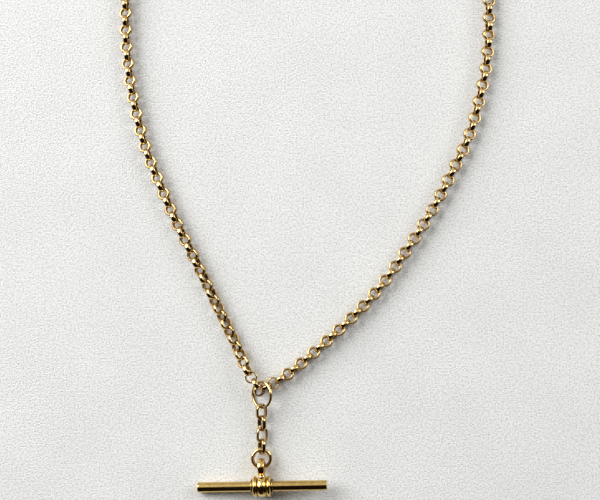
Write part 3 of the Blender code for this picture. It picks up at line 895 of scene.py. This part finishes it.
def build_collar(placing):
    """The centre band, with a bead and a tapered shoulder on each side of it."""
    sleeves = {
        "bar_centre_band": CENTRE_BAND,
        "bar_bead_left": [BEAD],
        "bar_bead_right": [mirrored(BEAD)],
        "bar_shoulder_left": [SHOULDER],
        "bar_shoulder_right": [mirrored(SHOULDER)],
    }
    for node, runs in sleeves.items():
        points, faces = turned(runs, 72, 5, BAR_RADIUS + SOLDER_GAP)
        # Dirt and painted shade low in the grooves between sleeves.
        shape = (placing, points, faces, sleeve_dirt_and_shade(points), SLEEVE_TONE)
        fit(mesh_object(node.replace("bar_", "turned_"), [shape]), "t_bar", node, "bar_gold")


def build_bar_eye(placing):
    """A broad ring on a foot, cut to sit on the centre band."""
    upright = placing @ Matrix.Translation((0, EYE_FROM_BAR, 0))
    upright = upright @ Matrix.Rotation(math.pi / 2, 4, "Y")
    points, faces = ring_shape(ring_path(72), d_section(*EYE_BAND))
    eye = mesh_object("bar_loop", [(upright, points, faces, 0.0, 0.0)])
    foot_at = placing @ Matrix.Rotation(math.pi / 2, 4, "Z")
    points, faces = turned([EYE_FOOT], 40)
    combine(eye, mesh_object("foot", [(foot_at, points, faces, 0.0, 0.0)]), "UNION")
    radius = COLLAR_RADIUS + SOLDER_GAP
    points, faces = turned([[(-EYE_SEAT_HALF, radius), (EYE_SEAT_HALF, radius)]], 96)
    combine(eye, mesh_object("seat", [(placing, points, faces, 0.0, 0.0)]), "DIFFERENCE")
    fit(eye, "t_bar", "bar_eye", "bar_gold")


# ---------------------------------------------------------------- fastenings


def end_ring_frame(last):
    """Where a ring of the end ring's size hangs in a strand's last link."""
    ahead = last.to_3x3() @ Vector((1, 0, 0))
    ahead.z = 0.0
    ahead.normalize()
    centre = last.translation + ahead * (LINK_INNER + END_RING[0] - END_RING[1] - RING_SLACK)
    return frame_at(centre, ahead, (0, 0, 1))


def build_clip(last):
    """The swivel clip: eye with stem, hook, gate, spring and pin."""
    placing = end_ring_frame(last)
    placing.translation.z = CLIP_HEIGHT
    placing = placing @ Matrix.Rotation(CLIP_DIP, 4, "Y")
    upright = Matrix.Translation(GATE_PIN_AT) @ Matrix.Rotation(-math.pi / 2, 4, "Y")

    def piece(name, shape):
        return mesh_object(name, [(placing, *shape, 0.0, 0.0)])

    def post(name, runs, sides):
        """A piece turned about the gate pin's own line."""
        points, faces = turned(runs, sides, 4)
        return piece(name, ([tuple(upright @ Vector(p)) for p in points], faces))

    eye = piece("swivel_eye", ring_shape(ring_path(72), wire_section(*END_RING)))
    combine(eye, piece("stem", turned(STEM, 40, 4)), "UNION")
    fit(eye, "clip_eye", "clip_eye", "ring_gold")

    body = piece("clip_hook", swept(HOOK_LINE, HOOK_RADII, 24, 5))
    combine(body, piece("base", turned(HOOK_BASE, 48, 4)), "UNION")
    combine(body, piece("lug", swept(LUG_LINE, LUG_RADII, 32, 5)), "UNION")
    combine(body, piece("bore", turned([STEM_BORE], 40)), "DIFFERENCE")
    combine(body, piece("room", turned([STEM_HEAD_ROOM], 40)), "DIFFERENCE")
    combine(body, piece("slot", box(*GATE_SLOT)), "DIFFERENCE")
    combine(body, post("hole", [PIN_HOLE], 32), "DIFFERENCE")
    fit(body, "clip", "clip_body", "chain_gold")

    gate = piece("clip_gate_bar", swept(GATE_LINE, GATE_RADII, 24, 6))
    combine(gate, post("knuckle", rod_runs(KNUCKLE_END), 40), "UNION")
    combine(gate, piece("thumb", swept(THUMB_LINE, THUMB_RADII, 24, 5)), "UNION")
    combine(gate, post("gate_hole", [PIN_HOLE], 32), "DIFFERENCE")
    fit(gate, "clip_gate", "clip_gate", "chain_gold")

    spring_radii = [SPRING_RADIUS] * len(SPRING_LINE)
    spring = piece("leaf_spring", swept(SPRING_LINE, spring_radii, 16, 6))
    fit(spring, "clip", "gate_spring", "spring_steel")
    fit(post("hinge_pin", rod_runs(PIN_END), 32), "clip", "gate_pin", "ring_gold")


def build_end_ring(last):
    points, faces = ring_shape(ring_path(80), wire_section(*END_RING))
    # Dirt and painted shade on the wire's inner side.
    shape = (end_ring_frame(last), points, faces, wire_dirt_and_shade(points, *END_RING), 0.0)
    fit(mesh_object("end_wire_ring", [shape]), "end_ring", "end_ring", "ring_gold")


LUCK = random.Random(SEED)
LEFT = strand_frames(LEFT_POINTS, LEFT_RUNS, LEFT_ROLL)
RIGHT = strand_frames(RIGHT_POINTS, RIGHT_RUNS, RIGHT_ROLL)
BAR = bar_frame()
build_centre_link(LEFT[0][0], RIGHT[0][0], LUCK)
build_threaded_ring()
build_drop(LUCK)
build_strand("left", LEFT, LUCK)
build_strand("right", RIGHT, LUCK)
build_rod(BAR)
build_collar(BAR)
build_bar_eye(BAR)
build_clip(LEFT[-1][-1])
build_end_ring(RIGHT[-1][-1])


# ---------------------------------------------------------------- stage


def add_floor():
    data = bpy.data.meshes.new("floor")
    work = bmesh.new()
    bmesh.ops.create_grid(
        work, x_segments=FLOOR_SEGMENTS, y_segments=FLOOR_SEGMENTS, size=FLOOR_HALF
    )
    work.to_mesh(data)
    work.free()
    data.materials.append(floor_material("white_leatherette"))
    floor = bpy.data.objects.new("floor", data)
    bpy.context.scene.collection.objects.link(floor)


def add_light(name, place, width, height, watts, colour):
    data = bpy.data.lights.new(name, "AREA")
    data.shape = "RECTANGLE"
    data.size = width
    data.size_y = height
    data.energy = watts
    data.color = colour
    ob = bpy.data.objects.new(name, data)
    ob.location = place
    aim = Vector(LIGHTS_AIM) - Vector(place)
    ob.rotation_euler = aim.to_track_quat("-Z", "Y").to_euler()
    bpy.context.scene.collection.objects.link(ob)


def add_world():
    """A pale backdrop for the camera, and a dim warm room for everything else."""
    world = bpy.data.worlds.new("room")
    world.use_nodes = True
    tree = world.node_tree
    tree.nodes.clear()
    out = tree.nodes.new("ShaderNodeOutputWorld")
    seen = tree.nodes.new("ShaderNodeBackground")
    seen.inputs["Color"].default_value = (*BACKDROP, 1.0)
    room = tree.nodes.new("ShaderNodeBackground")
    room.inputs["Color"].default_value = (*ROOM_GLOW, 1.0)
    ray = tree.nodes.new("ShaderNodeLightPath")
    both = tree.nodes.new("ShaderNodeMixShader")
    tree.links.new(ray.outputs["Is Camera Ray"], both.inputs["Fac"])
    tree.links.new(room.outputs["Background"], both.inputs[1])
    tree.links.new(seen.outputs["Background"], both.inputs[2])
    tree.links.new(both.outputs["Shader"], out.inputs["Surface"])
    bpy.context.scene.world = world


def add_camera():
    """A camera that looks straight down."""
    camera = bpy.data.cameras.new("photo_camera")
    camera.lens = CAMERA_LENS
    camera.sensor_width = SENSOR_WIDTH
    eye = bpy.data.objects.new("photo_camera", camera)
    eye.location = CAMERA_AT
    bpy.context.scene.collection.objects.link(eye)
    bpy.context.scene.camera = eye
    bpy.context.scene.view_settings.view_transform = "Standard"


add_floor()
for light in LIGHTS:
    add_light(*light)
add_world()
add_camera()
